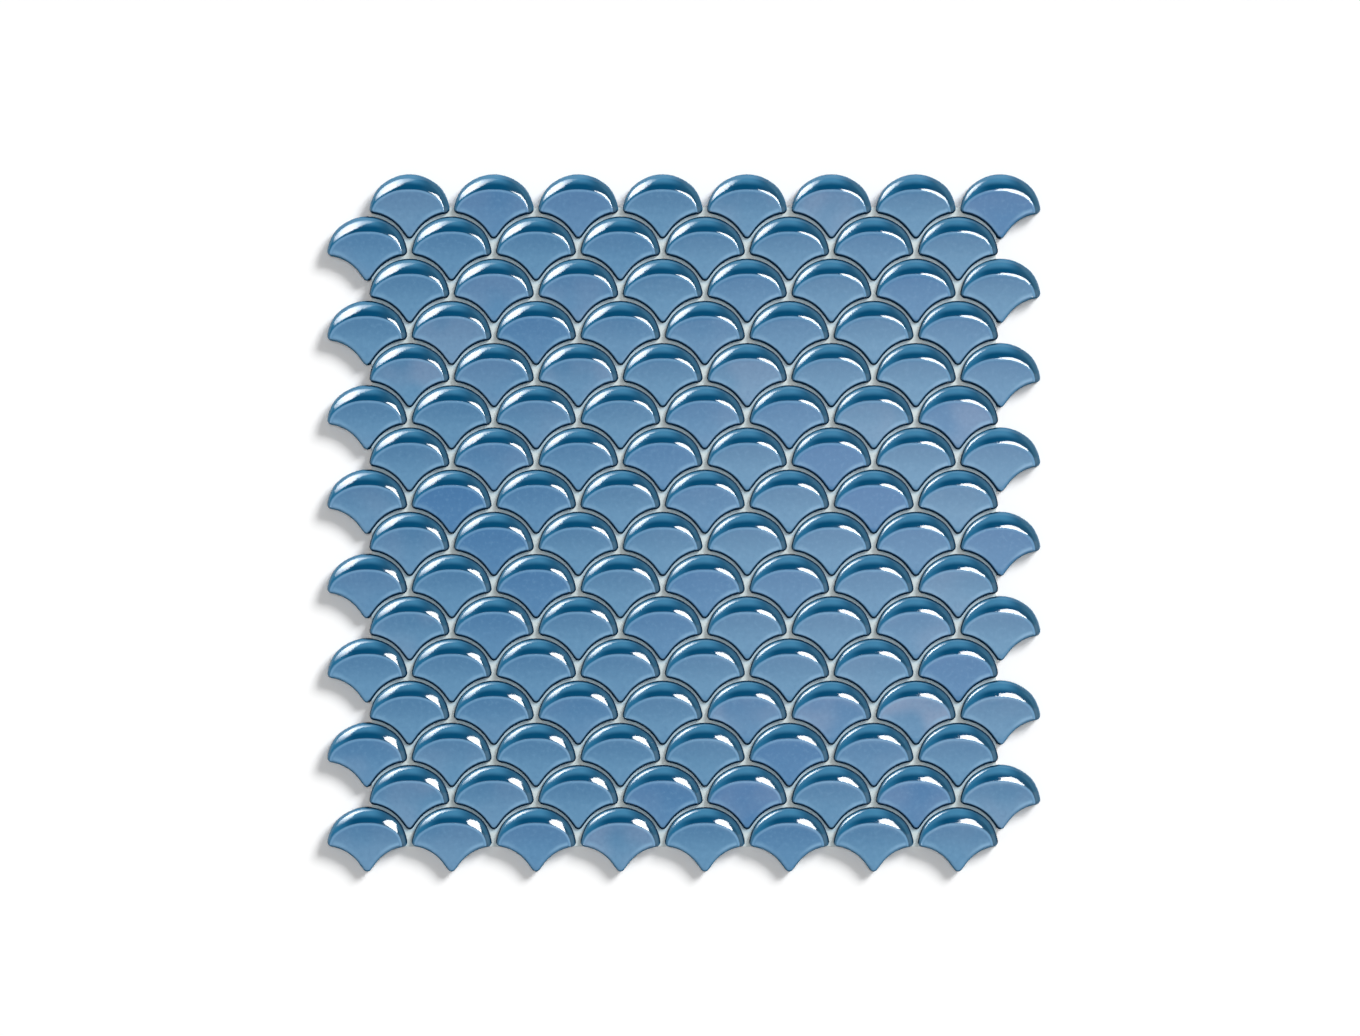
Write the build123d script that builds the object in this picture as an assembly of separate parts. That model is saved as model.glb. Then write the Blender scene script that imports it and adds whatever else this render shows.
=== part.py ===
from build123d import *
import os
from math import atan2, cos, radians, sin, sqrt

# Fish-scale glass mosaic sheet: staggered rows of bevelled glass scales on one backing net.
# The sheet lies flat, face up. The rounded arch of each scale points towards +Y.
# All sizes are in millimetres.

# Layout of the sheet
ROWS = 16
SCALES_PER_ROW = 8
COLUMN_PITCH = 37.5
ROW_PITCH = COLUMN_PITCH / 2
STAGGER = COLUMN_PITCH / 2

# Outline of one scale, from its own lattice point
ARCH_TOP = 17.55
TIP_BOTTOM = -11.3
HALF_WIDTH = 17.85
CORNER_Y = 1.6
HOLLOW_RADIUS = 18.7
HOLLOW_START = 98.0
HOLLOW_END = 146.0
TIP_RADIUS = 2.0

# Relief of one scale, with heights above its flat back
CREASE_TOP = 10.4
CREST_HEIGHT = 8.0
FAN_FALL = 0.12
BEVEL_FALL = 0.554

# Backing net, trimmed to a plain field with one pointed tooth under each scale of its edges
BACKING_THICKNESS = 0.5
FIELD_SIDE_INSET = 1.0
FIELD_TOP = 3.6
FIELD_BOTTOM = -0.2
SIDE_TOOTH = [(-2.9, 14.0), (15.5, 2.0), (-2.9, -8.0)]
TOP_TOOTH = [(-14.0, 2.6), (14.0, 2.6), (0.0, 15.5)]
BOTTOM_TOOTH = [(-12.0, 1.0), (0.0, -9.0), (12.0, 1.0)]

# Each round edge is a few straight chords, which keeps the sheet of many scales light
ARCH_CHORDS = 12
HOLLOW_CHORDS = 3

# Lattice line of the first row, with the sheet centred on the origin
FIRST_ROW_Y = ((ROWS - 1) * ROW_PITCH - ARCH_TOP - TIP_BOTTOM) / 2


def circle_on_axis(top_y):
    """Centre height and radius of the circle through (0, top_y) and both side corners."""
    centre_y = (HALF_WIDTH**2 + CORNER_Y**2 - top_y**2) / (2 * (CORNER_Y - top_y))
    return centre_y, top_y - centre_y


def fan_height(y):
    """Height of the flat fan-shaped face, which falls gently from the crest to the tip."""
    return CREST_HEIGHT - FAN_FALL * (CREASE_TOP - y)


def crescent_rims():
    """Crease and arch points, left to right, on shared rays from the crease's centre.

    The rays make each facet of the bevel between the two rims a flat one.
    """
    crease_y, crease_radius = circle_on_axis(CREASE_TOP)
    arch_y, arch_radius = circle_on_axis(ARCH_TOP)
    centre_gap = arch_y - crease_y
    spread = atan2(HALF_WIDTH, CORNER_Y - crease_y)
    crease = []
    arch = []
    for step in range(ARCH_CHORDS + 1):
        ray = spread * (2 * step / ARCH_CHORDS - 1)
        reach = centre_gap * cos(ray) + sqrt(arch_radius**2 - (centre_gap * sin(ray)) ** 2)
        crease_point_y = crease_y + crease_radius * cos(ray)
        arch_point_y = crease_y + reach * cos(ray)
        arch_height = fan_height(arch_point_y) - BEVEL_FALL * (reach - crease_radius)
        crease.append((crease_radius * sin(ray), crease_point_y, fan_height(crease_point_y)))
        arch.append((reach * sin(ray), arch_point_y, arch_height))
    return crease, arch


def lower_edge():
    """Points from the right corner, down the hollow side, round the tip and up the left side."""
    right_side = []
    for step in range(HOLLOW_CHORDS + 1):
        angle = radians(HOLLOW_START + (HOLLOW_END - HOLLOW_START) * step / HOLLOW_CHORDS)
        x = COLUMN_PITCH / 2 + HOLLOW_RADIUS * cos(angle)
        y = -ROW_PITCH + HOLLOW_RADIUS * sin(angle)
        right_side.append((x, y))
    tip_slope = radians(180 - HOLLOW_END)
    tip_shoulder_x = TIP_RADIUS * cos(tip_slope)
    tip_shoulder_y = TIP_BOTTOM + TIP_RADIUS - TIP_RADIUS * sin(tip_slope)
    right_side.append((tip_shoulder_x, tip_shoulder_y))
    left_side = [(-x, y) for x, y in reversed(right_side)]
    outline = right_side + [(0, TIP_BOTTOM)] + left_side
    return [(x, y, fan_height(y)) for x, y in outline]


def flat_face(points):
    """One flat face with straight edges through the points."""
    return Face(Wire.make_polygon([Vector(*point) for point in points]))


def glass_scale():
    """One glass scale: flat back, upright walls, bevelled crescent and gently sloping fan."""
    crease, arch = crescent_rims()
    lower = lower_edge()
    rim = arch + lower
    foot = [(x, y, 0) for x, y, _ in rim]
    faces = [flat_face(foot), flat_face(crease + lower)]
    for here in range(len(rim)):
        after = (here + 1) % len(rim)
        faces.append(flat_face([foot[here], foot[after], rim[after], rim[here]]))
    for here in range(ARCH_CHORDS):
        bevel = [crease[here], arch[here], arch[here + 1], crease[here + 1]]
        if here == 0:
            bevel = bevel[1:]
        if here == ARCH_CHORDS - 1:
            bevel = bevel[:-1]
        faces.append(flat_face(bevel))
    return Solid(Shell(faces))


def lattice_point(row, column):
    """Place of one scale; every other row is shifted sideways by half a pitch."""
    shift = STAGGER / 2 if row % 2 == 0 else -STAGGER / 2
    x = (column - (SCALES_PER_ROW - 1) / 2) * COLUMN_PITCH + shift
    return x, FIRST_ROW_Y - row * ROW_PITCH


def row_of_scales(scale, row):
    """One row of separate scales, standing on the backing net."""
    places = [lattice_point(row, column) for column in range(SCALES_PER_ROW)]
    return Compound([Pos(x, y, BACKING_THICKNESS) * scale for x, y in places])


def tooth(corners, place, side=1):
    """One pointed tooth of the backing net, mirrored for side -1."""
    x, y = place
    return Pos(x, y) * make_face(Polyline([(side * a, b) for a, b in corners], close=True))


def backing_net():
    """The net as a thin plate, which stays inside the outline of the glass."""
    last_row = ROWS - 1
    last_column = SCALES_PER_ROW - 1
    inner_corner_x = lattice_point(0, 0)[0] - HALF_WIDTH
    width = 2 * (-inner_corner_x - FIELD_SIDE_INSET)
    top = lattice_point(0, 0)[1] + FIELD_TOP
    bottom = lattice_point(last_row, 0)[1] + FIELD_BOTTOM
    net = Pos(0, (top + bottom) / 2) * Rectangle(width, top - bottom)
    for row in range(ROWS):
        if row % 2 == 0:
            net += tooth(SIDE_TOOTH, lattice_point(row, last_column))
        else:
            net += tooth(SIDE_TOOTH, lattice_point(row, 0), side=-1)
    for column in range(SCALES_PER_ROW):
        net += tooth(TOP_TOOTH, lattice_point(0, column))
        net += tooth(BOTTOM_TOOTH, lattice_point(last_row, column))
    return extrude(net, BACKING_THICKNESS)


def main():
    os.makedirs("parts", exist_ok=True)
    scale = glass_scale()
    for row in range(ROWS):
        export_step(row_of_scales(scale, row), f"parts/scale_row_{row + 1:02d}.step")
    export_step(backing_net(), "parts/backing_mesh.step")


main()
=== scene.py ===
"""Fish-scale glass mosaic sheet: rows of bevelled glass scales, the white glue in their joints
and the woven net behind them, seen from straight above on a white floor.

Lengths are in metres. The sheet lies flat, face up, and the arches of the scales point to +Y.
"""

import math
import random

import bmesh
import bpy
from bpy.props import FloatProperty, FloatVectorProperty, IntProperty, PointerProperty
from mathutils import Matrix, Vector


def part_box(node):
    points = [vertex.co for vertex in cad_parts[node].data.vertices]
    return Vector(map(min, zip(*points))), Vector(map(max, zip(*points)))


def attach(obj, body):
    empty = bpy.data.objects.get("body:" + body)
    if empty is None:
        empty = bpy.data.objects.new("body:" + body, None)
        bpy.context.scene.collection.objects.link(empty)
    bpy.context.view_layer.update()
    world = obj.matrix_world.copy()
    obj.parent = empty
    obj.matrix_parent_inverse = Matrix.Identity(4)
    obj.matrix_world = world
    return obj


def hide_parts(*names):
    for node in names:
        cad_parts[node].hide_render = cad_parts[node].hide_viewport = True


bl_info = {
    "name": "Fish-Scale Mosaic Sheet",
    "version": (1, 0, 0),
    "blender": (4, 5, 0),
    "location": "3D View > Sidebar > Mosaic",
    "description": "Models a sheet of bevelled glass scales with its joints, net and studio",
    "category": "Add Mesh",
}

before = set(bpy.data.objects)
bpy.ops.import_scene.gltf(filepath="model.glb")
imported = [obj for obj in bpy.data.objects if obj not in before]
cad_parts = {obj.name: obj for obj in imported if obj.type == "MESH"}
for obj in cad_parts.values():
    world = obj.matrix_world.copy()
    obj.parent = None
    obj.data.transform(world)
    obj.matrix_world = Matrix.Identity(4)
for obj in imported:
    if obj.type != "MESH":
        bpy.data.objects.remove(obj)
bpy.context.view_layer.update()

MM = 0.001
PHOTO_SIZE = (1360, 1036)
SCALES_PER_ROW = 8
ROW_NODES = sorted(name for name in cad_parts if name.startswith("scale_row_"))
NET_NODE = "backing_mesh"

# The lattice of the sheet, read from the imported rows
FIRST_LOW, FIRST_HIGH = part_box(ROW_NODES[0])
SECOND_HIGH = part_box(ROW_NODES[1])[1]
ROW_STEP = FIRST_HIGH.y - SECOND_HIGH.y
COLUMN_STEP = 2 * ROW_STEP
HALF_WIDTH = (FIRST_HIGH.x - FIRST_LOW.x - (SCALES_PER_ROW - 1) * COLUMN_STEP) / 2
SCALE_FOOT = FIRST_LOW.z
CREST_HEIGHT = FIRST_HIGH.z - FIRST_LOW.z

# How the line of the crest leaves its circle, with turns in degrees from the middle and the
# tuck for each square degree past its start
CREST_SHIFT = 0.1 * MM
TOP_FLATTENING = 0.3 * MM
TOP_SPREAD = 12.0
CORNER_TUCK = 0.0058 * MM
LEFT_TUCK_START = 38
RIGHT_TUCK_START = 31

# Where the arch is fuller than its circle, in degrees from +X
SHOULDER_MIDDLE = 40
SHOULDER_SPREAD = 13

# The spacing of points on the outline: one for each such length or bend
POINT_LENGTH = 2 * MM
POINT_BEND = math.radians(15)

# The turns of the rounded rim in degrees, and the rows of points on each column of the face,
# from the rim of the arch at -1 by the crest at 0 to the lower rim at 1
RIM_TURNS = (0.0, 30.0, 60.0, 90.0)
FACE_ROWS = (-0.78, -0.55, -0.32, -0.1, 0.0, 0.1, 0.18, 0.55, 0.9, 1.0)

# The row where the rounding of the crest ends, and the share of a column that it may take
CREST_ROW = 0.1
LARGEST_SHARE = 0.4
SHORTEST_COLUMN = 0.001 * MM

SMOOTH_ANGLE = math.radians(40)
MERGE_DISTANCE = 0.01 * MM

# The search for the place where the crest meets the outline: the share of one side that it
# looks at, how often it halves this and how many spans it looks ahead for the direction
SEARCH_SHARE = 0.6
SEARCH_HALVINGS = 30
SEARCH_NUDGE = 0.01

# How the scales differ from one another, with turns in degrees
PLACE_SEED = 128
TONE_SEED = 7
LARGEST_TURN = 0.4
TONE_SPREAD = 0.45
HAZE_SPREAD = 0.4

# How far the glue runs into the walls of the glass, how high above a lattice line four scales
# meet, and how far a thread leaves the middle of the net at a crossing, in thicknesses
GLUE_OVERLAP = 0.05 * MM
JUNCTION_LEVEL = 2 * MM
THREAD_RISE = 0.62

# The studio, with the flag's elevations in degrees
SENSOR_WIDTH = 36.0
FLOOR_SIZE = 12.0
FLAG_RADIUS = 2.6
FLAG_START = 0.3
FLAG_ELEVATIONS = (28, 72)
CARD_DISTANCE = 1.6

# The studio cards: how bright they are, whether they dim to their edges, and their corners as
# azimuth and elevation seen from the sheet
CARDS = {
    "right_card": (27.0, False, (
        (75, 57.5), (69.6, 53.4), (63.2, 51.7), (56.8, 51.2), (50.3, 51.2), (42, 54.5),
        (31, 57), (17, 64.5), (-8, 73), (-20, 79), (8, 82), (44, 80.5), (62, 73), (70, 66),
    )),
    "left_card": (27.0, True, (
        (152, 44), (136, 48.5), (121, 46.5), (108, 42), (90, 32), (106, 27), (121, 28), (138, 34),
    )),
    "pale_card": (1.7, True, (
        (-36, 69.5), (-5, 79), (-66, 85), (-115, 77.5), (-103, 72), (-73, 67), (-52, 65.5),
    )),
}


def linear(red, green, blue):
    """A colour of 0 to 255 as it is read off a screen, in the linear light that shaders use."""
    shares = [channel / 255 for channel in (red, green, blue)]
    return tuple(s / 12.92 if s <= 0.04045 else ((s + 0.055) / 1.055) ** 2.4 for s in shares)


class ScaleSettings(bpy.types.PropertyGroup):
    """Shape of one glass scale, from its own lattice point."""

    arch_top: FloatProperty(
        name="Arch Top", description="Height of the arch above the lattice point",
        default=17.3 * MM, unit="LENGTH",
    )
    tip_bottom: FloatProperty(
        name="Tip", description="Depth of the tip below the lattice point",
        default=11.3 * MM, unit="LENGTH",
    )
    corner_level: FloatProperty(
        name="Corner Level", description="Where the arch is at its widest",
        default=1.5 * MM, unit="LENGTH",
    )
    corner_radius: FloatProperty(
        name="Corner Radius", description="Rounding of the two side corners in plan",
        default=2.2 * MM, unit="LENGTH",
    )
    tip_radius: FloatProperty(
        name="Tip Radius", description="Rounding of the tip in plan",
        default=2.0 * MM, unit="LENGTH",
    )
    hollow_radius: FloatProperty(
        name="Hollow Radius", description="Radius of the hollow sides that fit round the next row",
        default=18.7 * MM, unit="LENGTH",
    )
    tip_slope: FloatProperty(
        name="Tip Slope", description="Angle of the straight runs beside the tip",
        default=math.radians(34), subtype="ANGLE",
    )
    crease_top: FloatProperty(
        name="Crease Top", description="Where the crest stands above the lattice point",
        default=10.6 * MM, unit="LENGTH",
    )
    fan_fall: FloatProperty(
        name="Fan Fall", description="Fall of the fan-shaped face for each metre towards the tip",
        default=0.12,
    )
    bevel_start: FloatProperty(
        name="Bevel Start", description="Fall of the crescent right beside the crest",
        default=0.42,
    )
    bevel_turn: FloatProperty(
        name="Bevel Turn", description="How much steeper the crescent gets for each millimetre",
        default=0.0375,
    )
    crest_round: FloatProperty(
        name="Crest Rounding", description="Half width of the rounded crest",
        default=0.5 * MM, unit="LENGTH",
    )
    shoulder: FloatProperty(
        name="Shoulder", description="How much fuller than a circle the arch is beside its top",
        default=0.25 * MM, unit="LENGTH",
    )
    rim_round: FloatProperty(
        name="Rim Rounding", description="Radius of the rounded upper edge",
        default=0.9 * MM, unit="LENGTH",
    )
    foot_chamfer: FloatProperty(
        name="Foot Chamfer", description="Bevel of the lower edge",
        default=0.25 * MM, unit="LENGTH",
    )
    half_columns: IntProperty(
        name="Half Columns", description="Columns of faces on each side of the middle",
        default=16,
    )
    scatter: FloatProperty(
        name="Scatter", description="How far a scale may sit off its lattice point",
        default=0.04 * MM, unit="LENGTH",
    )


class GlassSettings(bpy.types.PropertyGroup):
    """Colours of the glass."""

    fan_high: FloatVectorProperty(
        name="Fan by the Crest", description="Colour of the fan below the crest",
        default=linear(66, 121, 163), subtype="COLOR",
    )
    fan_low: FloatVectorProperty(
        name="Fan by the Tip", description="Colour of the fan towards the tip",
        default=linear(88, 141, 180), subtype="COLOR",
    )
    crescent_deep: FloatVectorProperty(
        name="Crescent by the Crest", description="Deep colour of the crescent",
        default=linear(6, 70, 106), subtype="COLOR",
    )
    crescent_pale: FloatVectorProperty(
        name="Crescent by the Rim", description="Paler colour of the crescent",
        default=linear(64, 124, 160), subtype="COLOR",
    )
    # The rim colour is painted shade: the dark of the walls and rounded rims between the scales
    rim: FloatVectorProperty(
        name="Rim", description="Dark colour of the rounded rim and the walls",
        default=linear(12, 44, 68), subtype="COLOR",
    )


class JointSettings(bpy.types.PropertyGroup):
    """The white glue in the joints and the net behind the scales."""

    glue_height: FloatProperty(
        name="Glue Height", description="Top of the glue above the floor",
        default=4.6 * MM, unit="LENGTH",
    )
    glue_side_inset: FloatProperty(
        name="Glue Side Inset", description="How far the glue stays inside the inner corners",
        default=1.0 * MM, unit="LENGTH",
    )
    glue_top: FloatProperty(
        name="Glue Top", description="Upper end of the glue above the first lattice line",
        default=2.6 * MM, unit="LENGTH",
    )
    glue_bottom: FloatProperty(
        name="Glue Bottom", description="Lower end of the glue from the last lattice line",
        default=-0.2 * MM, unit="LENGTH",
    )
    thread_step: FloatProperty(
        name="Thread Step", description="Distance between two threads of the net",
        default=5.0 * MM, unit="LENGTH",
    )
    thread_width: FloatProperty(
        name="Thread Width", description="Width of one flat thread",
        default=0.9 * MM, unit="LENGTH",
    )
    thread_thickness: FloatProperty(
        name="Thread Thickness", description="Thickness of one flat thread",
        default=0.2 * MM, unit="LENGTH",
    )


class StudioSettings(bpy.types.PropertyGroup):
    """Camera, floor and lights."""

    camera_height: FloatProperty(
        name="Camera Height", description="Height of the camera above the sheet",
        default=3.0, unit="LENGTH",
    )
    pixels_per_metre: FloatProperty(
        name="Photo Scale", description="Pixels of the photo for each metre of the sheet",
        default=2253.0,
    )
    sheet_centre: FloatVectorProperty(
        name="Sheet Centre", description="Pixel of the photo where the sheet's centre lies",
        size=2, default=(683.8, 522.6),
    )
    sun_strength: FloatProperty(
        name="Sun", description="Strength of the key light", default=2.9,
    )
    sky_strength: FloatProperty(
        name="Sky", description="Strength of the even light from all round", default=0.2,
    )
    overhead_strength: FloatProperty(
        name="Overhead", description="Strength of the soft light straight above", default=0.85,
    )


class Socket:
    """A shader value, with the arithmetic of Python."""

    def __init__(self, tree, source):
        self.tree = tree
        self.source = source

    def maths(self, operation, *others):
        values = (self, *others)
        return self.tree.node("ShaderNodeMath", {"operation": operation}, dict(enumerate(values)))

    def __add__(self, other):
        return self.maths("ADD", other)

    def __radd__(self, other):
        return self.maths("ADD", other)

    def __sub__(self, other):
        return self.maths("SUBTRACT", other)

    def __rsub__(self, other):
        return self.tree.node(
            "ShaderNodeMath", {"operation": "SUBTRACT"}, {0: other, 1: self}
        )

    def __mul__(self, other):
        return self.maths("MULTIPLY", other)

    def __rmul__(self, other):
        return self.maths("MULTIPLY", other)

    def __truediv__(self, other):
        return self.maths("DIVIDE", other)

    def root(self):
        return self.maths("SQRT")

    def clamped(self):
        return self.maths("MAXIMUM", 0.0).maths("MINIMUM", 1.0)


class Shader:
    """The node tree of one material or world, filled by calls."""

    def __init__(self, owner):
        owner.use_nodes = True
        self.owner = owner
        self.nodes = owner.node_tree.nodes
        self.links = owner.node_tree.links
        self.nodes.clear()

    def node(self, kind, settings=None, inputs=None, output=0):
        """Adds a node, sets its settings, then its sockets, and gives one of its outputs."""
        made = self.nodes.new(kind)
        for name, value in (settings or {}).items():
            setattr(made, name, value)
        for name, value in (inputs or {}).items():
            if isinstance(value, Socket):
                self.links.new(value.source, made.inputs[name])
            else:
                made.inputs[name].default_value = value
        return Socket(self, made.outputs[output]) if made.outputs else None

    def fade(self, value, start, end):
        """0 where the value is at start and 1 at end, eased at both."""
        return self.node(
            "ShaderNodeMapRange",
            {"interpolation_type": "SMOOTHSTEP"},
            {"Value": value, "From Min": start, "From Max": end},
        )

    def blend(self, share, first, second):
        """The first colour where share is 0 and the second where it is 1."""
        colours = [c if isinstance(c, Socket) else (*c, 1.0) for c in (first, second)]
        return self.node(
            "ShaderNodeMix",
            {"data_type": "RGBA"},
            {0: share, 6: colours[0], 7: colours[1]},
            output=2,
        )

    def noise(self, place, scale, detail=2.0):
        """Cloudy values of 0 to 1 on a place in metres."""
        return self.node(
            "ShaderNodeTexNoise", None, {"Vector": place, "Scale": scale, "Detail": detail}
        )

    def bump(self, height, strength, distance):
        """A normal that follows a height."""
        return self.node(
            "ShaderNodeBump", None,
            {"Height": height, "Strength": strength, "Distance": distance},
        )

    def finish(self, surface, end="ShaderNodeOutputMaterial"):
        """Ends the tree with this surface and gives its material or world."""
        self.node(end, None, {"Surface": surface})
        return self.owner


def new_material(name):
    """An empty shader for a material of this name."""
    return Shader(bpy.data.materials.new(name))


def glass_material(glass, shape):
    """Glossy blue glass: a pale fan, a deep crescent and a dark edge of painted shade that shows
    no gloss, with painted highlights and reflections.

    The stored place, inset and past are in millimetres.
    """
    shader = new_material("blue_glass")

    def number(name):
        return shader.node("ShaderNodeAttribute", {"attribute_name": name}, output=2)

    place = shader.node("ShaderNodeAttribute", {"attribute_name": "place"}, output=1)
    x = shader.node("ShaderNodeSeparateXYZ", None, {0: place}, output=0)
    y = shader.node("ShaderNodeSeparateXYZ", None, {0: place}, output=1)
    inset, past, tone = map(number, ("inset", "past", "tone"))
    haze, chance, free = map(number, ("haze", "chance", "free"))
    body = shader.node("ShaderNodeTexCoord", output=3)
    on_fan = shader.fade(past, 0.2, -0.3)
    across = (past / (past.maths("MAXIMUM", 0.0) + inset + 0.1)).clamped()
    clouds = shader.noise(body, 90.0)

    fan = shader.blend(shader.fade(y, 9.0, -5.0), glass.fan_high, glass.fan_low)
    fan = shader.blend(tone * 0.7, fan, linear(42, 108, 166))
    drift = shader.fade(shader.noise(body, 45.0, 1.0), 0.35, 0.65)
    fan = shader.blend(haze * drift * 0.6, fan, linear(140, 156, 186))
    grain = shader.noise(body, 520.0, 3.0)
    fan = shader.blend(shader.fade(grain, 0.5, 0.75) * 0.14, fan, linear(120, 170, 206))
    fan = shader.blend(shader.fade(grain, 0.5, 0.25) * 0.16, fan, linear(40, 98, 146))
    # Painted highlight: a pale line on the fan just before the crest
    fan = shader.blend(shader.fade(past, -1.4, -0.6) * 0.4, fan, linear(120, 172, 210))
    # Painted highlight: a pale line inside the lower edges of the fan, stronger towards both sides
    lower_edge_highlight = shader.fade(inset, 3.2, 1.7) * shader.fade(inset, 0.9, 1.5)
    lower_edge_highlight = lower_edge_highlight * shader.fade(past, -0.8, -2.0)
    sides = shader.fade(x, 3.0, 11.0) * 0.5 + shader.fade(x, -5.0, -13.0) * 0.25
    fan = shader.blend(lower_edge_highlight * (0.06 + sides), fan, linear(134, 182, 216))

    # The crescent gets paler towards the rim, partly for its thinner glass and partly as painted
    # reflection; on the right it stays dark as painted shade
    pale = shader.fade(across + clouds * 0.12 - 0.06, 0.25, 0.62)
    pale = pale * (1 - shader.fade(x, 1.0, 9.0) * 0.85)
    # Painted light at the crescent's ends: lighter teal at the left end for light that comes
    # through the glass, darker grey at the right end as painted shade
    deep = shader.blend(shader.fade(x, -5.0, -14.0), glass.crescent_deep, linear(38, 110, 151))
    deep = shader.blend(shader.fade(x, 3.0, 12.0), deep, linear(30, 72, 98))
    crescent = shader.blend(pale, deep, glass.crescent_pale)
    # Painted reflection: a faint pale line inside the rim on the right side of the arch
    rim_reflection = shader.fade(inset, 2.5, 1.9) * shader.fade(inset, 1.0, 1.5)
    rim_reflection = rim_reflection * shader.fade(x, 7.0, 12.0)
    crescent = shader.blend(rim_reflection * 0.12, crescent, linear(110, 160, 186))
    face = shader.blend(on_fan, crescent, fan)

    turn = x.maths("ARCTAN2", y - circle_on_axis(shape, shape.crease_top)[0] / MM)
    combed = shader.node(
        "ShaderNodeCombineXYZ", None, {0: turn * 22.0, 1: past * 0.15, 2: chance * 50.0}
    )
    ripples = shader.noise(combed, 1.0, 2.0) * (1 - on_fan) * shader.fade(x, 3.0, -4.0) * 1.6
    waves = shader.noise(body, 130.0, 1.0)
    normal = shader.bump(ripples + waves * 3.0, 1.0, 0.012 * MM)
    gloss = shader.node(
        "ShaderNodeBsdfPrincipled", None,
        {"Base Color": face, "Roughness": 0.06, "IOR": 1.5, "Normal": normal},
    )
    # The dark matt edge is painted shade between the scales: lighter and narrower on sides that
    # face no other scale, and narrower on the crescent, most on its left
    edge = shader.node(
        "ShaderNodeBsdfPrincipled", None,
        {"Base Color": shader.blend(free * 0.75, glass.rim, linear(70, 124, 156)),
         "Roughness": 0.5, "Specular IOR Level": 0.0},
    )
    bare = (1 - on_fan) * (0.25 + shader.fade(x, -2.0, -8.0) * 0.3)
    surface = shader.node(
        "ShaderNodeMixShader", None,
        {0: shader.fade(inset + bare + free * 0.35, 0.55, 1.2), 1: edge, 2: gloss},
    )
    return shader.finish(surface)


def glue_material(nearest):
    """Matt white bonding glue, slightly uneven, painted darker and bluer in the narrow joints as
    painted shade and painted light from the glass.

    The wide places, where four scales meet, repeat on the lattice from the nearest one.
    """
    shader = new_material("white_glue")
    body = shader.node("ShaderNodeTexCoord", output=3)
    clouds = shader.noise(body, 220.0, 4.0)
    colour = shader.blend(clouds, linear(176, 194, 198), linear(208, 220, 221))
    x = shader.node("ShaderNodeSeparateXYZ", None, {0: body}, output=0) - nearest.x
    y = shader.node("ShaderNodeSeparateXYZ", None, {0: body}, output=1) - nearest.y
    half = COLUMN_STEP / 2
    gaps = []
    for shift in (0.0, half):
        across, along = ((way + shift).maths("WRAP", -half, half) for way in (x, y))
        gaps.append((across * across + along * along).root())
    from_junction = gaps[0].maths("MINIMUM", gaps[1])
    # Painted shade and painted blue light from the glass: the glue is darker and bluer in the
    # narrow joints, away from where four scales meet
    narrow_joint_shading = shader.fade(from_junction, 3.2 * MM, 5.5 * MM)
    colour = shader.blend(narrow_joint_shading * 0.5, colour, linear(118, 166, 194))
    normal = shader.bump(shader.noise(body, 900.0, 3.0), 0.4, 0.2 * MM)
    surface = shader.node(
        "ShaderNodeBsdfPrincipled", None,
        {"Base Color": colour, "Roughness": 0.55, "Normal": normal},
    )
    return shader.finish(surface)


def net_material():
    """Pale coated glass-fibre thread with fine strands."""
    shader = new_material("net_thread")
    body = shader.node("ShaderNodeTexCoord", output=3)
    clouds = shader.noise(body, 500.0, 3.0)
    colour = shader.blend(clouds, linear(196, 198, 196), linear(232, 233, 230))
    normal = shader.bump(shader.noise(body, 2400.0, 2.0), 0.5, 0.15 * MM)
    surface = shader.node(
        "ShaderNodeBsdfPrincipled", None,
        {"Base Color": colour, "Roughness": 0.6, "Normal": normal},
    )
    return shader.finish(surface)


def card_material(name, brightness, soft, corners):
    """Bright studio card; a soft one dims from its middle to its edges."""
    shader = new_material(name)
    strength = brightness
    if soft:
        spots = [sky(*corner) * CARD_DISTANCE for corner in corners]
        middle = sum(spots, Vector()) / len(spots)
        along = spots[0] - spots[len(spots) // 2]
        across = middle.cross(along)
        shares = []
        body = shader.node("ShaderNodeTexCoord", output=3)
        away = shader.node("ShaderNodeVectorMath", {"operation": "SUBTRACT"}, {0: body, 1: middle})
        for way in (along, across):
            reach = max(abs((spot - middle).dot(way.normalized())) for spot in spots)
            part = shader.node(
                "ShaderNodeVectorMath", {"operation": "DOT_PRODUCT"},
                {0: away, 1: way.normalized() / reach}, output=1,
            )
            shares.append(part * part)
        strength = 1.0 + shader.fade((shares[0] + shares[1]).root(), 1.0, 0.05) * brightness
    glow = shader.node(
        "ShaderNodeEmission", None, {"Color": (1.0, 1.0, 1.0, 1.0), "Strength": strength}
    )
    return shader.finish(glow)


def floor_material():
    """Plain white floor."""
    shader = new_material("white_floor")
    surface = shader.node(
        "ShaderNodeBsdfDiffuse", None, {"Color": (1.0, 1.0, 1.0, 1.0), "Roughness": 0.0}
    )
    return shader.finish(surface)


def flag_material():
    """Black studio flag that glossy surfaces reflect."""
    shader = new_material("black_flag")
    surface = shader.node(
        "ShaderNodeBsdfDiffuse", None, {"Color": (0.01, 0.012, 0.015, 1.0), "Roughness": 0.0}
    )
    return shader.finish(surface)


def circle_on_axis(shape, top):
    """Centre height and radius of the circle through the top point and both side corners."""
    level = shape.corner_level
    centre = (HALF_WIDTH**2 + level**2 - top**2) / (2 * (level - top))
    return centre, top - centre


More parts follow.
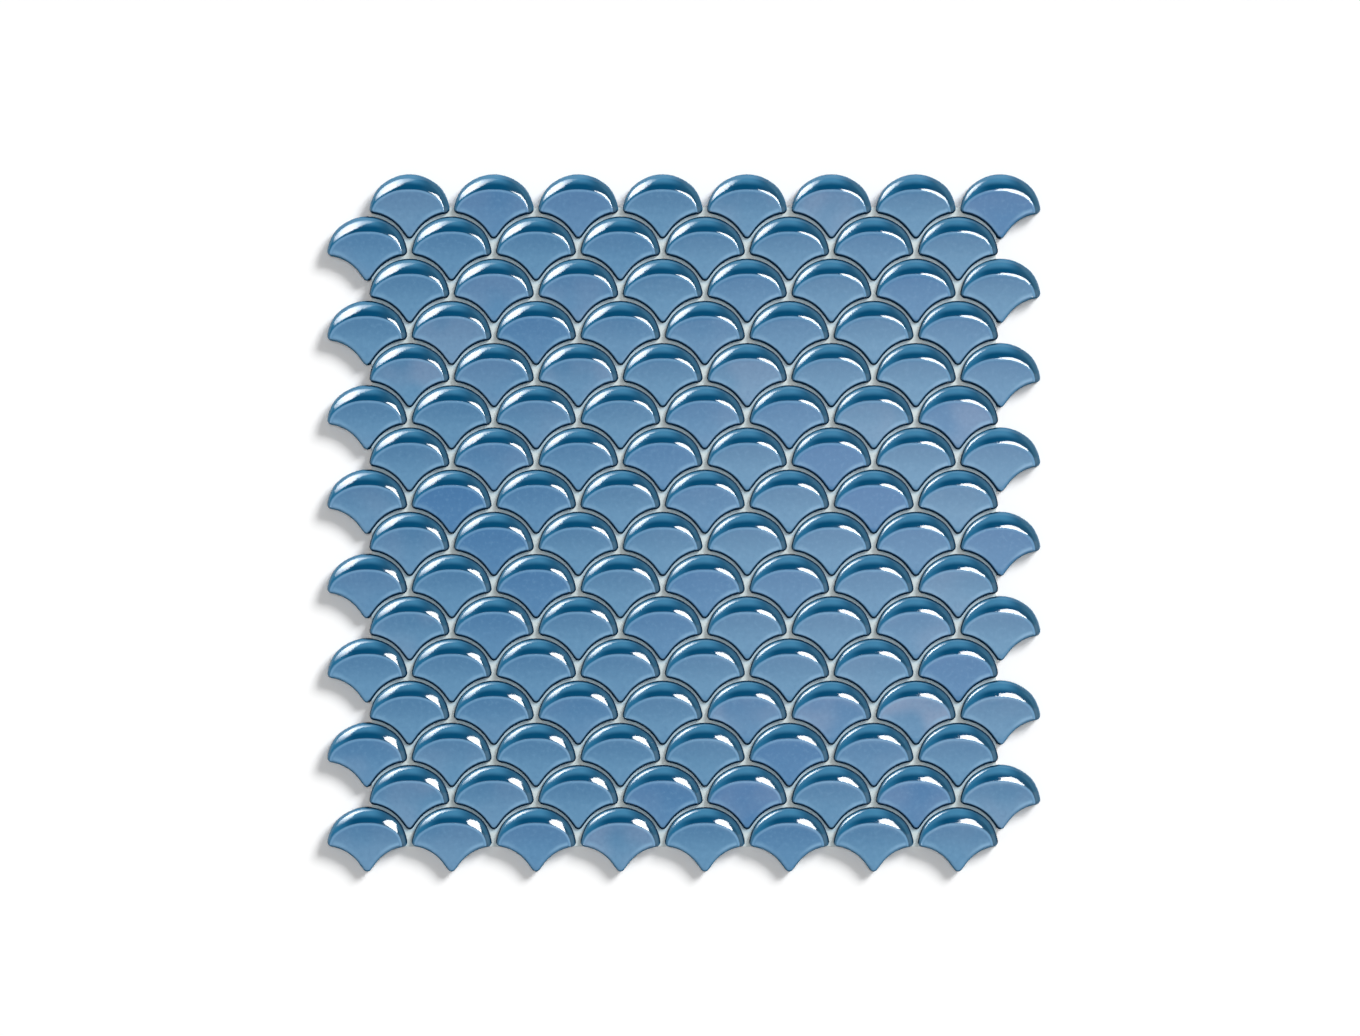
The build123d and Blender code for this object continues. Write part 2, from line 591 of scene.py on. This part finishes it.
def past_crest(shape, x, y):
    """Distance of a place beyond the crest, negative on the fan.

    The crest follows its circle, a little flatter at the top and drawn in at both corners,
    at the right one more.
    """
    centre, radius = circle_on_axis(shape, shape.crease_top)
    turn = abs(math.degrees(math.atan2(x, y - centre)))
    flat = TOP_FLATTENING * math.exp(-((turn / TOP_SPREAD) ** 2))
    start = RIGHT_TUCK_START if x > 0 else LEFT_TUCK_START
    tuck = CORNER_TUCK * max(0.0, turn - start) ** 2
    return math.hypot(x, y - centre) - radius - CREST_SHIFT + flat + tuck


def crest_drop(shape, beyond):
    """How far the crescent has fallen at a distance beyond the crest."""
    half = shape.crest_round
    if beyond <= -half:
        return 0.0
    if beyond < half:
        return shape.bevel_start * (beyond + half) ** 2 / (4 * half)
    return shape.bevel_start * beyond + shape.bevel_turn / MM * beyond**2 / 2


def face_height(shape, x, y):
    """Height of the upper face above the foot, before its rim is rounded."""
    fan = CREST_HEIGHT - shape.fan_fall * (shape.crease_top - y)
    return fan - crest_drop(shape, past_crest(shape, x, y))


def corner_centre(shape):
    """Centre of the right corner's rounding, which touches the arch and the hollow side."""
    arch_y, arch_radius = circle_on_axis(shape, shape.arch_top)
    arch_reach = arch_radius - shape.corner_radius
    hollow_reach = shape.hollow_radius + shape.corner_radius
    hollow = Vector((COLUMN_STEP / 2, -ROW_STEP))
    arch = Vector((0.0, arch_y))
    between = hollow - arch
    along = (arch_reach**2 - hollow_reach**2 + between.length_squared) / (2 * between.length)
    aside = math.sqrt(arch_reach**2 - along**2)
    ahead = between.normalized()
    left = Vector((-ahead.y, ahead.x))
    return arch + ahead * along + left * aside


def arc(centre, radius, start, end):
    """An arc as its length, its turn and a function that gives its point at a share of it."""
    def point(share):
        angle = start + (end - start) * share
        return Vector((centre[0] + radius * math.cos(angle), centre[1] + radius * math.sin(angle)))
    return abs(end - start) * radius, abs(end - start), point


def run(first, second):
    """A straight run, in the same form as an arc."""
    return (second - first).length, 0.0, lambda share: first.lerp(second, share)


def right_side(shape):
    """The right half of the outline: arch, corner, hollow side, straight run and tip."""
    arch_y, arch_radius = circle_on_axis(shape, shape.arch_top)
    corner = corner_centre(shape)
    hollow = Vector((COLUMN_STEP / 2, -ROW_STEP))
    arch_side = math.atan2(corner.y - arch_y, corner.x)
    hollow_side = math.atan2(hollow.y - corner.y, hollow.x - corner.x)
    hollow_start = math.atan2(corner.y - hollow.y, corner.x - hollow.x)
    hollow_end = math.pi - shape.tip_slope
    side_end = hollow + shape.hollow_radius * Vector((math.cos(hollow_end), math.sin(hollow_end)))
    tip_centre = (0.0, shape.tip_radius - shape.tip_bottom)
    tip = arc(tip_centre, shape.tip_radius, -shape.tip_slope, -math.pi / 2)
    length, turn, circle = arc((0.0, arch_y), arch_radius, math.pi / 2, arch_side)

    def fuller(share):
        spot = circle(share)
        away = spot - Vector((0.0, arch_y))
        from_shoulder = math.degrees(math.atan2(away.y, away.x)) - SHOULDER_MIDDLE
        swell = math.exp(-((from_shoulder / SHOULDER_SPREAD) ** 2))
        return spot + away.normalized() * shape.shoulder * swell

    return [
        (length, turn, fuller),
        arc(corner, shape.corner_radius, arch_side, hollow_side),
        arc(hollow, shape.hollow_radius, hollow_start, hollow_end),
        run(side_end, tip[2](0.0)),
        tip,
    ]


def span(part):
    """How many points one part of the outline asks for, by its length and its bend."""
    length, turn, _ = part
    return length / POINT_LENGTH + turn / POINT_BEND


def on_side(parts, distance):
    """The point at a distance along the right side, counted in spans."""
    for part in parts:
        if distance <= span(part) or part is parts[-1]:
            return part[2](min(distance / span(part), 1.0))
        distance -= span(part)


def scale_outline(shape):
    """Points round the scale, anticlockwise from where the crest meets its right side.

    The first half goes over the arch and the second half goes back by the tip.
    """
    parts = right_side(shape)
    total = sum(map(span, parts))
    low, high = 0.0, total * SEARCH_SHARE
    for _ in range(SEARCH_HALVINGS):
        split = (low + high) / 2
        spot = on_side(parts, split)
        ahead = (on_side(parts, split + SEARCH_NUDGE) - spot).normalized()
        spot += Vector((ahead.y, -ahead.x)) * shape.rim_round
        if past_crest(shape, spot.x, spot.y) > 0:
            low = split
        else:
            high = split
    steps = shape.half_columns
    over = [on_side(parts, split * (1 - step / steps)) for step in range(steps + 1)]
    under = [on_side(parts, split + (total - split) * step / steps) for step in range(steps + 1)]
    mirrored = [Vector((-point.x, point.y)) for point in over[-2::-1]]
    mirrored += [Vector((-point.x, point.y)) for point in under[1:]]
    return over + mirrored + under[-2:0:-1]


def inward(points):
    """Unit vectors that point into a closed outline at each of its points, given anticlockwise."""
    count = len(points)
    normals = []
    for index in range(count):
        along = points[(index + 1) % count] - points[index - 1]
        normals.append(Vector((-along.y, along.x)).normalized())
    return normals


def start_piece(name):
    """Gives the piece's name to the object that was just added or joined."""
    piece = bpy.context.active_object
    piece.name = name
    piece.data.name = name
    return piece


def clear_selection():
    """Deselects all objects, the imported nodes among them."""
    bpy.ops.object.select_all(action="DESELECT")


def select_only(objects, active):
    """Selects these objects alone and makes one of them active."""
    clear_selection()
    for piece in objects:
        piece.select_set(True)
    bpy.context.view_layer.objects.active = active


def own_copy(original):
    """A copy of an object with its own mesh."""
    copy = original.copy()
    copy.data = original.data.copy()
    bpy.context.collection.objects.link(copy)
    return copy


def cut_with(piece, cutter, operation):
    """Cuts a piece with a closed cutter, which is then removed."""
    cut = piece.modifiers.new("Cut", "BOOLEAN")
    cut.operation = operation
    cut.solver = "EXACT"
    cut.object = cutter
    select_only([piece], piece)
    bpy.ops.object.modifier_apply(modifier=cut.name)
    bpy.data.objects.remove(cutter)


def by_angle(shell):
    """The points of a new circle, anticlockwise from +X."""
    return sorted(shell.verts, key=lambda v: math.atan2(v.co.y, v.co.x) % math.tau)


def place_selected(piece, station, where):
    """Moves each selected point of the mesh in edit mode to the place of its station."""
    shell = bmesh.from_edit_mesh(piece.data)
    for point in shell.verts:
        if point.select:
            point.co = where(point[shell.verts.layers.int[station]])
    bmesh.update_edit_mesh(piece.data)


def select_stations(piece, station, wanted):
    """Keeps only those selected points whose station is wanted, and the edges between them."""
    shell = bmesh.from_edit_mesh(piece.data)
    layer = shell.verts.layers.int[station]
    for edge in shell.edges:
        keep = edge.select and all(v[layer] in wanted for v in edge.verts)
        edge.select = keep
    for point in shell.verts:
        point.select = any(edge.select for edge in point.link_edges)
    shell.select_flush(False)
    bmesh.update_edit_mesh(piece.data)


def fill_open_edge(piece):
    """Closes the shell in edit mode with one face over its open edge."""
    shell = bmesh.from_edit_mesh(piece.data)
    for edge in shell.edges:
        edge.select = edge.is_boundary
    shell.select_flush(False)
    for point in shell.verts:
        point.select = any(edge.select for edge in point.link_edges)
    bmesh.update_edit_mesh(piece.data)
    bpy.ops.mesh.edge_face_add()


def turn_faces_out():
    """Points all faces of the shell in edit mode outwards and goes back to object mode."""
    bpy.ops.mesh.select_all(action="SELECT")
    bpy.ops.mesh.normals_make_consistent(inside=False)
    bpy.ops.object.mode_set(mode="OBJECT")


def model_scale(shape):
    """One glass scale, drawn up ring by ring from its foot and closed over its crest."""
    ring = scale_outline(shape)
    columns = 2 * shape.half_columns
    normals = inward(ring)

    def on_ring(index, depth, height):
        spot = ring[index] + normals[index] * depth
        return Vector((spot.x, spot.y, SCALE_FOOT + height))

    clear_selection()
    bpy.ops.mesh.primitive_circle_add(vertices=len(ring), radius=HALF_WIDTH, location=(0, 0, 0))
    piece = start_piece("glass_scale")
    bpy.ops.object.mode_set(mode="EDIT")
    shell = bmesh.from_edit_mesh(piece.data)
    station = shell.verts.layers.int.new("station")
    for index, point in enumerate(by_angle(shell)):
        point[station] = index
    bmesh.update_edit_mesh(piece.data)
    bpy.ops.mesh.select_all(action="SELECT")
    place_selected(piece, "station", lambda i: on_ring(i, shape.foot_chamfer, 0.0))

    bpy.ops.mesh.extrude_edges_move()
    place_selected(piece, "station", lambda i: on_ring(i, 0.0, shape.foot_chamfer))
    for turn in RIM_TURNS:
        depth = shape.rim_round * (1 - math.cos(math.radians(turn)))
        sink = shape.rim_round * (1 - math.sin(math.radians(turn)))

        def rim(index, depth=depth, sink=sink):
            spot = on_ring(index, depth, 0.0)
            spot.z += face_height(shape, spot.x, spot.y) - sink
            return spot

        bpy.ops.mesh.extrude_edges_move()
        place_selected(piece, "station", rim)

    centre = Vector((0.0, circle_on_axis(shape, shape.crease_top)[0]))

    def on_column(index, row):
        """A place on one column: the rim of the arch at -1, the crest at 0, the lower rim at 1."""
        arch_end = ring[index] + normals[index] * shape.rim_round
        tip_end = ring[-index] + normals[-index] * shape.rim_round
        if index in (0, columns):
            spot = arch_end
        else:
            ray = (arch_end - centre).normalized()
            crest = arch_end - ray * past_crest(shape, arch_end.x, arch_end.y)
            end = arch_end if row < 0 else tip_end
            length = max((end - crest).length, SHORTEST_COLUMN)
            reach = min(shape.crest_round / length, LARGEST_SHARE)
            past_row = abs(row) - CREST_ROW
            if past_row < 0:
                share = reach * abs(row) / CREST_ROW
            else:
                share = reach + (1 - reach) * past_row / (1 - CREST_ROW)
            spot = crest.lerp(end, share)
        return Vector((spot.x, spot.y, SCALE_FOOT + face_height(shape, spot.x, spot.y)))

    select_stations(piece, "station", range(columns + 1))
    for row in FACE_ROWS:
        bpy.ops.mesh.extrude_edges_move()
        place_selected(piece, "station", lambda i, row=row: on_column(i, row))

    bpy.ops.mesh.select_all(action="SELECT")
    bpy.ops.mesh.remove_doubles(threshold=MERGE_DISTANCE)
    fill_open_edge(piece)
    turn_faces_out()
    mark_places(piece, ring, shape)
    bpy.ops.object.shade_smooth_by_angle(angle=SMOOTH_ANGLE)
    return piece


def mark_places(piece, ring, shape):
    """Stores, in mm, each point's place, its distance from the outline and beyond the crest."""
    mesh = piece.data
    mesh.attributes.remove(mesh.attributes["station"])
    mesh.attributes.new("place", "FLOAT_VECTOR", "POINT")
    for name in ("inset", "past", "tone", "haze", "chance", "free"):
        mesh.attributes.new(name, "FLOAT", "POINT")
    places = []
    insets = []
    pasts = []
    for vertex in mesh.vertices:
        places.extend(vertex.co / MM)
        pasts.append(past_crest(shape, vertex.co.x, vertex.co.y) / MM)
        flat = vertex.co.xy
        gaps = []
        for here, after in zip(ring, ring[1:] + ring[:1]):
            along = after - here
            share = max(0.0, min(1.0, (flat - here).dot(along) / along.length_squared))
            gaps.append((flat - here - along * share).length)
        insets.append(min(gaps) / MM)
    mesh.attributes["place"].data.foreach_set("vector", places)
    mesh.attributes["inset"].data.foreach_set("value", insets)
    mesh.attributes["past"].data.foreach_set("value", pasts)


def free_sides(mesh, row, column, shape):
    """For each point 1 where its quarter of the scale faces no other scale of the sheet."""
    free = []
    for spot in mesh.attributes["place"].data:
        next_row = row - 1 if spot.vector.y > shape.corner_level / MM else row + 1
        next_column = column + (spot.vector.x > 0) - (row % 2)
        inside = 0 <= next_row < len(ROW_NODES) and 0 <= next_column < SCALES_PER_ROW
        free.append(0.0 if inside else 1.0)
    return free


def lattice_points():
    """Row, column and tip of every scale on the lattice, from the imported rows."""
    points = []
    for row, name in enumerate(ROW_NODES):
        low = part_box(name)[0]
        for column in range(SCALES_PER_ROW):
            x = low.x + HALF_WIDTH + column * COLUMN_STEP
            points.append((row, column, Vector((x, low.y, 0.0))))
    return points


def scale_places(shape):
    """Where each scale sits: its lattice point with a little turn and shift."""
    chance = random.Random(PLACE_SEED)
    places = []
    for row, column, tip in lattice_points():
        shift = Vector((chance.uniform(-1, 1), chance.uniform(0, 1), 0.0)) * shape.scatter
        turn = Matrix.Rotation(math.radians(chance.uniform(-LARGEST_TURN, LARGEST_TURN)), 4, "Z")
        spot = Matrix.Translation(tip + Vector((0.0, shape.tip_bottom, 0.0)) + shift)
        places.append((row, column, spot @ turn))
    return places


class MOSAIC_OT_scales(bpy.types.Operator):
    """Models one glass scale and lays copies of it in staggered rows"""

    bl_idname = "mosaic.scales"
    bl_label = "Glass Scales"

    def execute(self, context):
        settings = context.scene.mosaic_scale
        scale = model_scale(settings)
        scale.data.materials.append(glass_material(context.scene.mosaic_glass, settings))
        chance = random.Random(TONE_SEED)
        rows = {}
        for row, column, place in scale_places(settings):
            copy = own_copy(scale)
            copy.data.transform(place)
            tone = max(0.0, chance.gauss(0.0, TONE_SPREAD))
            haze = max(0.0, chance.gauss(0.0, HAZE_SPREAD))
            for name, value in (("tone", tone), ("haze", haze), ("chance", chance.random())):
                data = copy.data.attributes[name].data
                data.foreach_set("value", [min(value, 1.0)] * len(data))
            free = free_sides(copy.data, row, column, settings)
            copy.data.attributes["free"].data.foreach_set("value", free)
            rows.setdefault(row, []).append(copy)
        bpy.data.objects.remove(scale)
        for row, copies in rows.items():
            select_only(copies, copies[0])
            bpy.ops.object.join()
            piece = start_piece(f"glass_row_{row + 1:02d}")
            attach(piece, "root")
            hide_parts(ROW_NODES[row])
        return {"FINISHED"}


class MOSAIC_OT_glue(bpy.types.Operator):
    """Fills the joints between the scales with white glue"""

    bl_idname = "mosaic.glue"
    bl_label = "Joint Glue"

    def execute(self, context):
        joint = context.scene.mosaic_joint
        shape = context.scene.mosaic_scale
        cutters = self.scale_cutters(shape)
        glue = self.glue_block(joint, shape)
        cut_with(glue, cutters, "DIFFERENCE")
        glue.data.materials.clear()
        first_tip = lattice_points()[0][2]
        aside = Vector((COLUMN_STEP / 2, shape.tip_bottom + JUNCTION_LEVEL, 0.0))
        glue.data.materials.append(glue_material(first_tip + aside))
        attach(glue, "root")
        return {"FINISHED"}

    def scale_cutters(self, shape):
        """Upright solids with the outlines of all scales, joined to one object."""
        ring = scale_outline(shape)
        normals = inward(ring)
        clear_selection()
        bpy.ops.mesh.primitive_circle_add(
            vertices=len(ring), radius=HALF_WIDTH, fill_type="NGON", location=(0, 0, 0)
        )
        cutter = start_piece("scale_cutter")
        bpy.ops.object.mode_set(mode="EDIT")
        shell = bmesh.from_edit_mesh(cutter.data)
        for index, point in enumerate(by_angle(shell)):
            spot = ring[index] + normals[index] * GLUE_OVERLAP
            point.co = (spot.x, spot.y, SCALE_FOOT / 2)
        bmesh.update_edit_mesh(cutter.data)
        bpy.ops.mesh.select_all(action="SELECT")
        bpy.ops.mesh.extrude_region_move(TRANSFORM_OT_translate={"value": (0, 0, CREST_HEIGHT)})
        turn_faces_out()
        copies = []
        for _, _, place in scale_places(shape):
            copy = own_copy(cutter)
            copy.data.transform(place)
            copies.append(copy)
        bpy.data.objects.remove(cutter)
        select_only(copies, copies[0])
        bpy.ops.object.join()
        return start_piece("scale_cutters")

    def glue_block(self, joint, shape):
        """A plain block of glue behind all the joints, which stays inside the sheet's edge."""
        inner_x = FIRST_LOW.x + joint.glue_side_inset
        last_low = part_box(ROW_NODES[-1])[0]
        top = FIRST_LOW.y + shape.tip_bottom + joint.glue_top
        bottom = last_low.y + shape.tip_bottom + joint.glue_bottom
        clear_selection()
        bpy.ops.mesh.primitive_cube_add(size=1.0)
        glue = start_piece("joint_glue")
        low = Vector((inner_x, bottom, SCALE_FOOT))
        high = Vector((-inner_x, top, joint.glue_height))
        middle = (low + high) / 2
        stretch = high - low
        glue.data.transform(Matrix.Translation(middle) @ Matrix.Diagonal((*stretch, 1.0)))
        return glue


class MOSAIC_OT_net(bpy.types.Operator):
    """Weaves the net behind the scales and trims it to the backing's outline"""

    bl_idname = "mosaic.net"
    bl_label = "Backing Net"

    def execute(self, context):
        joint = context.scene.mosaic_joint
        low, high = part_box(NET_NODE)
        step = joint.thread_step
        threads = []
        for across in (False, True):
            length = high.x - low.x if across else high.y - low.y
            spread = high.y - low.y if across else high.x - low.x
            spans = 2 * math.ceil(length / step / 2) + 2
            ribbon = self.ribbon(joint, spans)
            count = int(spread / 2 / step)
            for number in range(-count, count + 1):
                thread = own_copy(ribbon)
                self.wave(thread, joint, number + int(across), step)
                turn = Matrix.Rotation(0.0 if across else math.pi / 2, 4, "Z")
                side = (0.0, number * step, 0.0) if across else (number * step, 0.0, 0.0)
                thread.data.transform(Matrix.Translation(side) @ turn)
                threads.append(thread)
            bpy.data.objects.remove(ribbon)
        select_only(threads, threads[0])
        bpy.ops.object.join()
        net = start_piece("woven_net")

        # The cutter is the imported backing, three times as thick about its middle
        cutter = own_copy(bpy.data.objects[NET_NODE])
        cutter.data.transform(Matrix.Diagonal((1.0, 1.0, 3.0, 1.0)))
        cutter.data.transform(Matrix.Translation((0.0, 0.0, -SCALE_FOOT)))
        select_only([cutter], cutter)
        bpy.ops.object.mode_set(mode="EDIT")
        bpy.ops.mesh.select_all(action="SELECT")
        bpy.ops.mesh.remove_doubles(threshold=MERGE_DISTANCE)
        bpy.ops.object.mode_set(mode="OBJECT")
        cut_with(net, cutter, "INTERSECT")
        net.data.materials.clear()
        net.data.materials.append(net_material())
        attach(net, "root")
        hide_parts(NET_NODE)
        return {"FINISHED"}

    def ribbon(self, joint, spans):
        """One flat straight thread along X, centred, with a row of points at each crossing."""
        clear_selection()
        bpy.ops.mesh.primitive_grid_add(x_subdivisions=spans, y_subdivisions=1, size=1.0)
        ribbon = start_piece("thread")
        length = spans * joint.thread_step
        ribbon.data.transform(Matrix.Diagonal((length, joint.thread_width, 1.0, 1.0)))
        bpy.ops.object.mode_set(mode="EDIT")
        bpy.ops.mesh.select_all(action="SELECT")
        bpy.ops.mesh.extrude_region_move(
            TRANSFORM_OT_translate={"value": (0, 0, joint.thread_thickness)}
        )
        turn_faces_out()
        return ribbon

    def wave(self, thread, joint, number, step):
        """Lifts the thread over every other crossing and lowers it under the rest."""
        middle = SCALE_FOOT / 2
        thickness = joint.thread_thickness
        for point in thread.data.vertices:
            crossing = round(point.co.x / step) + number
            rise = thickness * (THREAD_RISE if crossing % 2 == 0 else -THREAD_RISE)
            point.co.z += middle - thickness / 2 + rise


class MOSAIC_OT_stage(bpy.types.Operator):
    """Sets up the floor, the lights, the flag and the camera"""

    bl_idname = "mosaic.stage"
    bl_label = "Studio"

    def execute(self, context):
        studio = context.scene.mosaic_studio
        scene = context.scene
        clear_selection()
        bpy.ops.mesh.primitive_plane_add(size=FLOOR_SIZE, location=(0, 0, 0))
        floor = start_piece("floor")
        floor.data.materials.append(floor_material())
        self.add_flag()
        self.add_lights(studio)
        self.add_camera(scene, studio)
        scene.view_settings.view_transform = "Standard"
        self.paint_world(scene, studio)
        return {"FINISHED"}

    def add_flag(self):
        """A black curved flag beyond the arches, which only reflections show."""
        clear_selection()
        bpy.ops.mesh.primitive_uv_sphere_add(segments=48, ring_count=24, radius=FLAG_RADIUS)
        flag = start_piece("black_flag")
        bpy.ops.object.mode_set(mode="EDIT")
        shell = bmesh.from_edit_mesh(flag.data)
        lowest, highest = FLAG_ELEVATIONS
        for face in shell.faces:
            place = face.calc_center_median()
            height = math.degrees(math.asin(place.z / place.length))
            face.select = not (place.y > FLAG_START and lowest < height < highest)
        bmesh.update_edit_mesh(flag.data)
        bpy.ops.mesh.delete(type="FACE")
        bpy.ops.object.mode_set(mode="OBJECT")
        flag.data.materials.append(flag_material())
        show_in_reflections_only(flag)

    def add_lights(self, studio):
        """Two soft suns for the shadows, and the cards that only reflections show."""
        for name, strength, spread, azimuth, elevation in (
            ("key_sun", studio.sun_strength, 22, 45, 37),
            ("overhead_sun", studio.overhead_strength, 16, 90, 89),
        ):
            sun = bpy.data.lights.new(name, "SUN")
            sun.energy = strength
            sun.angle = math.radians(spread)
            lamp = bpy.data.objects.new(name, sun)
            bpy.context.collection.objects.link(lamp)
            aim(lamp, azimuth, elevation, distance=2.0)
            lamp.visible_glossy = False
        for name, (brightness, soft, corners) in CARDS.items():
            clear_selection()
            bpy.ops.mesh.primitive_circle_add(vertices=len(corners), fill_type="NGON")
            card = start_piece(name)
            bpy.ops.object.mode_set(mode="EDIT")
            shell = bmesh.from_edit_mesh(card.data)
            for point, (azimuth, elevation) in zip(by_angle(shell), corners):
                point.co = sky(azimuth, elevation) * CARD_DISTANCE
            bmesh.update_edit_mesh(card.data)
            bpy.ops.object.mode_set(mode="OBJECT")
            card.data.materials.append(card_material(name, brightness, soft, corners))
            show_in_reflections_only(card)

    def add_camera(self, scene, studio):
        """A long lens straight above, framed as the photo is."""
        lens = bpy.data.cameras.new("camera")
        camera = bpy.data.objects.new("camera", lens)
        bpy.context.collection.objects.link(camera)
        top = SCALE_FOOT + CREST_HEIGHT
        view_width = PHOTO_SIZE[0] / studio.pixels_per_metre
        lens.sensor_width = SENSOR_WIDTH
        lens.lens = SENSOR_WIDTH * studio.camera_height / view_width
        lens.clip_end = 100.0
        aside = (PHOTO_SIZE[0] / 2 - studio.sheet_centre[0]) / studio.pixels_per_metre
        along = (studio.sheet_centre[1] - PHOTO_SIZE[1] / 2) / studio.pixels_per_metre
        camera.location = (aside, along, top + studio.camera_height)
        scene.camera = camera

    def paint_world(self, scene, studio):
        """White where the camera, glass and metal see it, and a plain level of light elsewhere."""
        shader = Shader(bpy.data.worlds.new("studio"))
        seen = sum(
            shader.node("ShaderNodeLightPath", output=f"Is {way} Ray")
            for way in ("Camera", "Glossy", "Transmission")
        )
        even, white = (
            shader.node("ShaderNodeBackground", None, {"Color": (1.0,) * 4, "Strength": strength})
            for strength in (studio.sky_strength, 1.0)
        )
        mix = shader.node("ShaderNodeMixShader", None, {0: seen.clamped(), 1: even, 2: white})
        scene.world = shader.finish(mix, "ShaderNodeOutputWorld")


def show_in_reflections_only(piece):
    """Hides a piece from all rays but the glossy ones."""
    for way in ("camera", "diffuse", "transmission", "volume_scatter", "shadow"):
        setattr(piece, f"visible_{way}", False)


def sky(azimuth, elevation):
    """Direction from the sheet, with azimuth 0 at +X and 90 at +Y."""
    a = math.radians(azimuth)
    e = math.radians(elevation)
    return Vector((math.cos(a) * math.cos(e), math.sin(a) * math.cos(e), math.sin(e)))


def aim(lamp, azimuth, elevation, distance):
    """Puts a lamp in a direction from the sheet, facing it."""
    away = sky(azimuth, elevation)
    lamp.location = away * distance
    lamp.rotation_mode = "QUATERNION"
    lamp.rotation_quaternion = away.to_track_quat("Z", "Y")


class MOSAIC_PT_panel(bpy.types.Panel):
    """Lists the steps that build the sheet"""

    bl_idname = "MOSAIC_PT_panel"
    bl_label = "Mosaic Sheet"
    bl_space_type = "VIEW_3D"
    bl_region_type = "UI"
    bl_category = "Mosaic"

    def draw(self, context):
        for step in STEPS:
            self.layout.operator(step.bl_idname)


STEPS = (MOSAIC_OT_stage, MOSAIC_OT_scales, MOSAIC_OT_glue, MOSAIC_OT_net)
GROUPS = {
    "mosaic_scale": ScaleSettings,
    "mosaic_glass": GlassSettings,
    "mosaic_joint": JointSettings,
    "mosaic_studio": StudioSettings,
}


def register():
    for kind in (*GROUPS.values(), *STEPS, MOSAIC_PT_panel):
        bpy.utils.register_class(kind)
    for name, group in GROUPS.items():
        setattr(bpy.types.Scene, name, PointerProperty(type=group))


def unregister():
    for name in GROUPS:
        delattr(bpy.types.Scene, name)
    for kind in (MOSAIC_PT_panel, *reversed(STEPS), *reversed(GROUPS.values())):
        bpy.utils.unregister_class(kind)


def main():
    register()
    bpy.ops.mosaic.stage()
    bpy.ops.mosaic.scales()
    bpy.ops.mosaic.glue()
    bpy.ops.mosaic.net()


if __name__ == "__main__":
    main()
